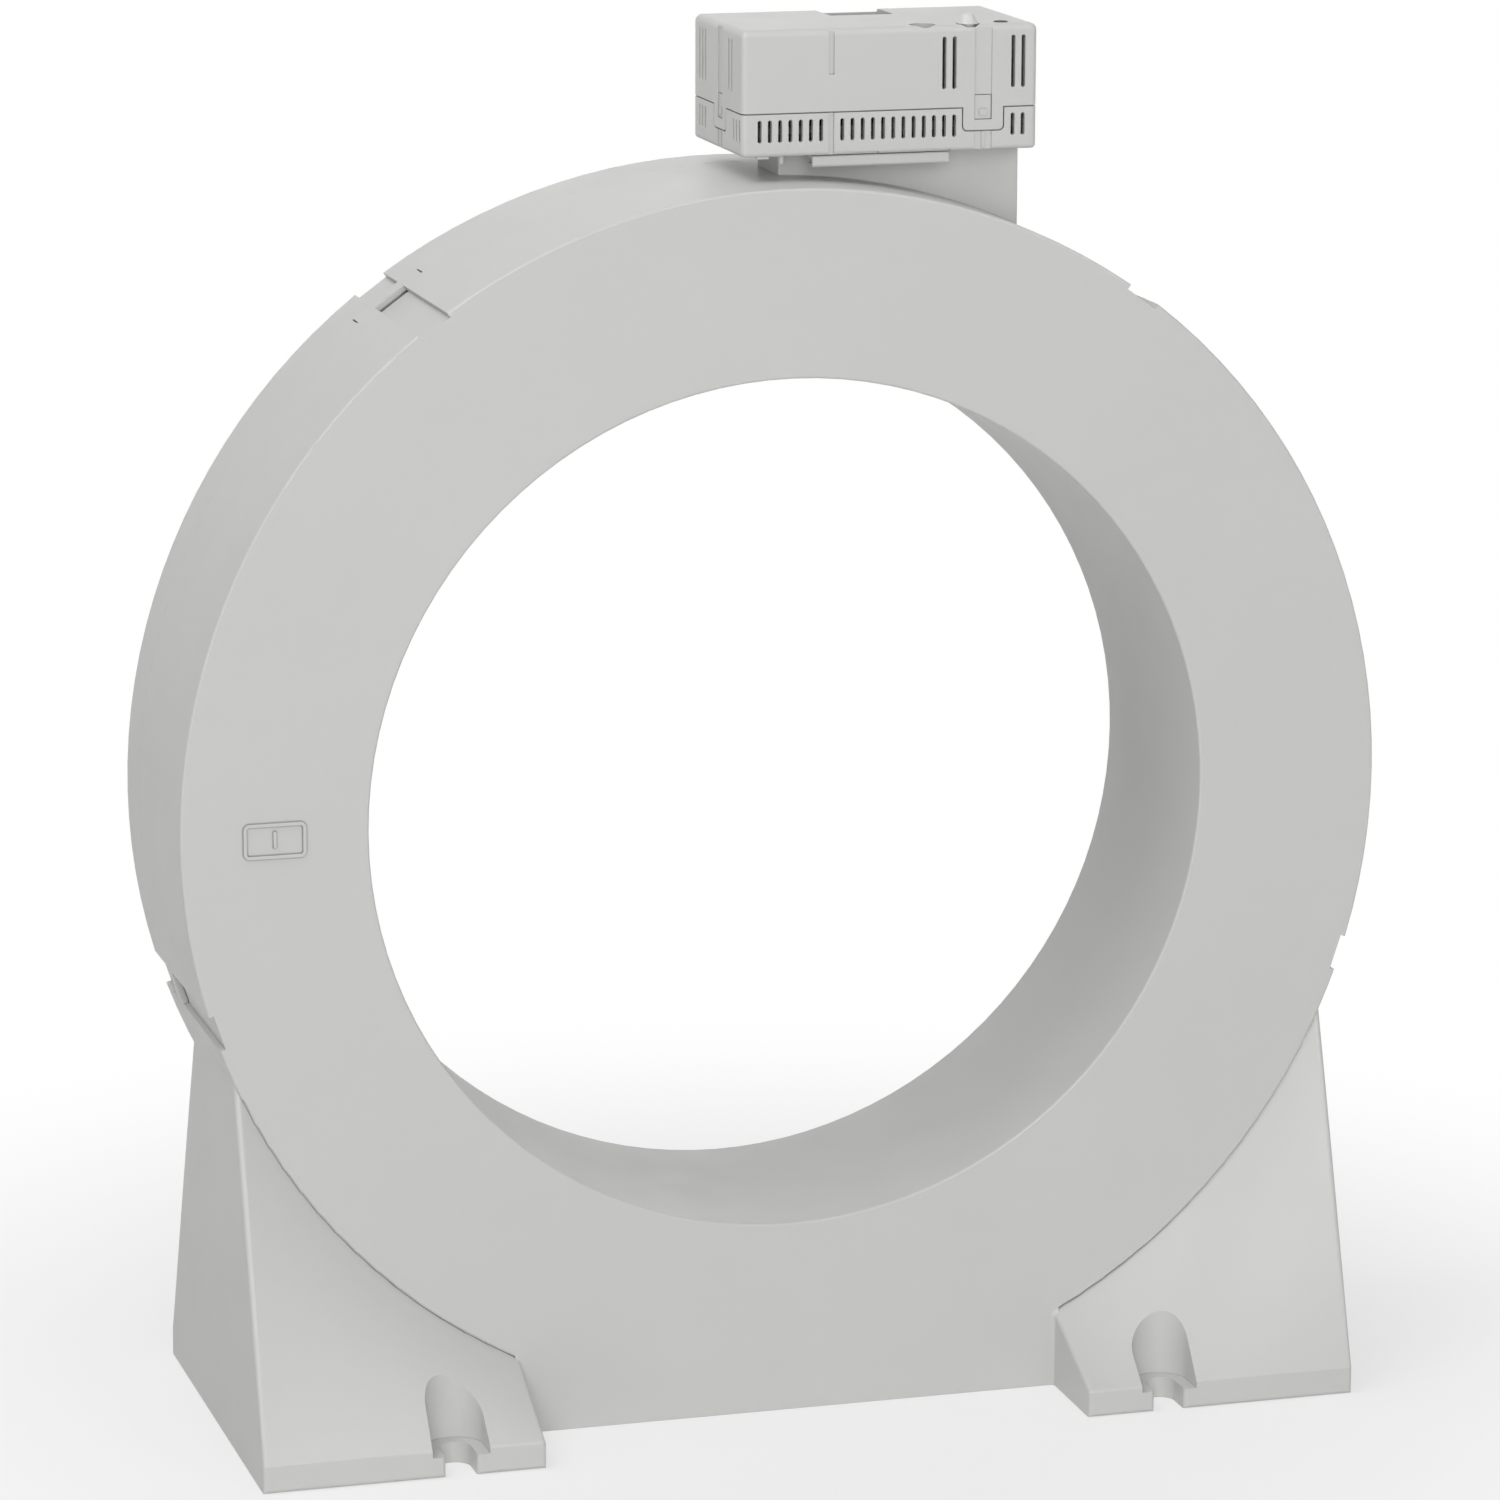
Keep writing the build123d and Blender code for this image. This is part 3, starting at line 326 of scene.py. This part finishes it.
def circuit_board(name, colour, low, high):
    """Dark lacquer over woven glass, with paler copper tracks under it."""
    made, tree, shader, where = start(name, colour)
    black = (0, 0, 0, 1)
    white = (1, 1, 1, 1)
    weave = add(tree, "TexChecker", {"Vector": where, "Scale": 1 / weave_size}).outputs["Fac"]
    cells = add(tree, "TexBrick", {
        "Vector": where,
        "Scale": 1 / track_pitch,
        "Mortar Size": track_share,
        "Color1": black,
        "Color2": black,
        "Mortar": white,
    })
    tracks = add(tree, "RGBToBW", {0: cells.outputs["Color"]}).outputs[0]
    paint(tree, shader, blend(tree, tracks, colour, shade(colour, track_paleness)))
    rough(tree, shader, weave, low, high)
    height = math_node(tree, "ADD", tracks, math_node(tree, "MULTIPLY", weave, weave_height))
    relief(tree, shader, height, depth=0.00003)
    return made


def capacitor_sleeve(name, colour, low, high):
    """Dark sleeve, and a bare metal end on top."""
    made, tree, shader, where = start(name, colour)
    _, top_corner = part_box("supply_capacitors")
    height = add(tree, "SeparateXYZ", {0: where}).outputs["Z"]
    top = math_node(tree, "GREATER_THAN", height, top_corner.z - can_end_height)
    paint(tree, shader, blend(tree, top, colour, linear(*can_end_metal)))
    tree.links.new(top, shader.inputs["Metallic"])
    rough(tree, shader, noise(tree, where, size=0.002), low, high)
    relief(tree, shader, noise(tree, where, size=0.0006), depth=0.00001)
    return made


def clear_moulding(name, colour, low, high, through, gloss=0.5):
    """Tinted clear plastic with faint flow lines."""
    made, tree, shader, where = start(name, colour)
    shader.inputs["Transmission Weight"].default_value = through
    shader.inputs["Specular IOR Level"].default_value = gloss
    shader.inputs["IOR"].default_value = acrylic_ior
    flow = noise(tree, where, size=0.0015)
    tint(tree, shader, colour, flow, amount=0.1)
    rough(tree, shader, flow, low, high)
    relief(tree, shader, flow, depth=0.000004)
    return made


# material slot: its finish, screen colour, lowest and highest roughness, and what is its own
finishes = {
    # the housing gets painted shade in its corners and seams
    "housing_grey": (moulded, (202, 202, 200), 0.42, 0.56, {"painted_shade_amount": housing_painted_shade}),
    "screen_steel": (brushed, (104, 108, 114), 0.3, 0.5, {"stretch": (0.1, 1.0, 0.1)}),
    "pad_foam": (foam, (58, 58, 60), 0.8, 0.95, {}),
    "case_black": (moulded, (40, 40, 42), 0.45, 0.6, {"grain": 0.0008, "depth": 0.00002}),
    "strip_metal": (wound_strip, (150, 152, 156), 0.28, 0.5, {}),
    "winding_copper": (wire_wound, (190, 104, 52), 0.22, 0.4, {}),
    "lead_red": (moulded, (178, 34, 30), 0.35, 0.45,
                 {"grain": 0.0004, "depth": 0.000006, "edge": 0.0}),
    "connector_white": (moulded, (226, 222, 210), 0.4, 0.5,
                        {"grain": 0.0004, "depth": 0.000008}),
    "screw_steel": (brushed, (196, 196, 192), 0.2, 0.38, {}),
    "board_green": (circuit_board, (24, 31, 27), 0.25, 0.34, {}),
    "header_grey": (moulded, (120, 122, 122), 0.4, 0.55, {"grain": 0.0004}),
    "pin_tin": (brushed, (208, 206, 198), 0.18, 0.32, {"stretch": (1.0, 1.0, 0.1)}),
    "lamp_green": (clear_moulding, (96, 190, 110), 0.12, 0.25, {"through": 0.35}),
    "lens_smoke": (clear_moulding, (24, 25, 26), 0.45, 0.6, {"through": 0.05, "gloss": 0.12}),
    "switch_black": (moulded, (34, 34, 35), 0.35, 0.5, {"grain": 0.0004}),
    "button_pale": (moulded, (212, 212, 210), 0.35, 0.48,
                    {"grain": 0.0004, "depth": 0.000006, "edge": 0.0002}),
    "can_sleeve": (capacitor_sleeve, (38, 40, 48), 0.25, 0.4, {}),
    "ferrite": (moulded, (58, 56, 56), 0.55, 0.75,
                {"grain": 0.0003, "depth": 0.00003, "edge": 0.0}),
    "chip_black": (moulded, (32, 32, 33), 0.5, 0.65, {"grain": 0.0003}),
}


def dress_nodes():
    """Gives every CAD node the finish of its slot in the record; returns the materials."""
    made = {}
    for part in frame["record"]["subparts"]:
        slot = part["material_slot"]
        if slot not in made:
            maker, colour, low, high, own = finishes[slot]
            made[slot] = maker(slot, linear(*colour), low, high, **own)
        mesh = frame["nodes"][part["node"]].data
        mesh.materials.clear()
        mesh.materials.append(made[slot])
    return made


# Pieces that the solids don't carry

def raised_number(name, text, face, material):
    """One raised number in the middle of a polarity frame, on the ring's front or rear face."""
    screen_low, screen_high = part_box("outer_screen")
    curve = bpy.data.curves.new(name, "FONT")
    curve.body = text
    curve.align_x = "CENTER"
    curve.align_y = "CENTER"
    curve.size = number_height * height_to_size
    curve.extrude = number_relief
    curve.bevel_depth = number_bevel
    curve.materials.append(material)
    piece = bpy.data.objects.new(name, curve)
    bpy.context.scene.collection.objects.link(piece)
    depth = screen_low.y - shell_wall
    turned = Matrix.Rotation(math.pi / 2, 4, "X")
    if face == "rear":
        depth = screen_high.y + shell_wall
        turned = Matrix.Rotation(math.pi, 4, "Z") @ turned
    piece.matrix_world = Matrix.Translation((polarity_x, depth, plate_height())) @ turned
    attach(piece, "transformer")


# Floor, world, lamps and camera

def seen_rays(tree):
    """One for rays that show the background itself, zero for rays that light the object."""
    path = add(tree, "LightPath").outputs
    seen = math_node(tree, "MAXIMUM", path["Is Camera Ray"], path["Is Glossy Ray"])
    return math_node(tree, "MAXIMUM", seen, path["Is Transmission Ray"])


def pale_floor():
    """A pale floor that shows the object's shadow and turns plain white away from it."""
    half = floor_size / 2
    sides = ((-half, -half), (half, -half), (half, half), (-half, half))
    mesh = bpy.data.meshes.new("floor")
    mesh.from_pydata([(x, y, -floor_drop) for x, y in sides], [], [(0, 1, 2, 3)])
    floor = bpy.data.objects.new("floor", mesh)
    bpy.context.scene.collection.objects.link(floor)
    made, tree, shader, where = start("floor_white", (floor_grey, floor_grey, floor_grey, 1.0))
    shader.inputs["Roughness"].default_value = floor_roughness
    away = vector_node(tree, "LENGTH", where).outputs["Value"]
    far = add(tree, "MapRange", {"Value": away, "From Min": shadow_reach, "From Max": white_from},
              interpolation_type="SMOOTHSTEP").outputs["Result"]
    seen = math_node(tree, "MULTIPLY", spread(tree, far, white_share, 1.0), seen_rays(tree))
    white = add(tree, "Emission", {"Strength": 1.0}).outputs[0]
    mixed = add(tree, "MixShader", {0: seen, 1: shader.outputs[0], 2: white}).outputs[0]
    tree.links.new(mixed, tree.nodes["Material Output"].inputs["Surface"])
    mesh.materials.append(made)


def white_world():
    """A world that is white to the eye and lights the object at a plain level."""
    world = bpy.data.worlds.new("studio")
    world.use_nodes = True
    bpy.context.scene.world = world
    tree = world.node_tree
    background = tree.nodes["Background"]
    background.inputs["Color"].default_value = (1.0, 1.0, 1.0, 1.0)
    strength = spread(tree, seen_rays(tree), world_light, 1.0)
    tree.links.new(strength, background.inputs["Strength"])


def soft_lamps():
    """Round lamps that face the object."""
    for name, (place, size, watts) in lamps.items():
        lamp = bpy.data.lights.new(name, "AREA")
        lamp.shape = "DISK"
        lamp.size = size
        lamp.energy = watts
        holder = bpy.data.objects.new(name, lamp)
        holder.location = place
        towards = Vector(lamp_aim) - Vector(place)
        holder.rotation_euler = towards.to_track_quat("-Z", "Y").to_euler()
        bpy.context.scene.collection.objects.link(holder)


def camera():
    """The camera at the photograph's place."""
    azimuth = math.radians(camera_azimuth)
    elevation = math.radians(camera_elevation)
    flat = math.cos(elevation)
    back = Vector((math.sin(azimuth) * flat, -math.cos(azimuth) * flat, math.sin(elevation)))
    data = bpy.data.cameras.new("photo_camera")
    data.sensor_width = sensor_width
    data.lens = sensor_width * focal_pixels / photo_width
    data.clip_start = camera_near
    data.clip_end = camera_far
    holder = bpy.data.objects.new("photo_camera", data)
    turned = (-back).to_track_quat("-Z", "Y").to_matrix().to_4x4()
    rolled = turned @ Matrix.Rotation(math.radians(camera_roll), 4, "Z")
    holder.matrix_world = Matrix.Translation(camera_target + back * camera_distance) @ rolled
    bpy.context.scene.collection.objects.link(holder)
    bpy.context.scene.camera = holder


materials = dress_nodes()
for name, (text, face) in polarity_faces.items():
    raised_number(name, text, face, materials["housing_grey"])
pale_floor()
white_world()
soft_lamps()
camera()
bpy.context.scene.view_settings.view_transform = "Standard"
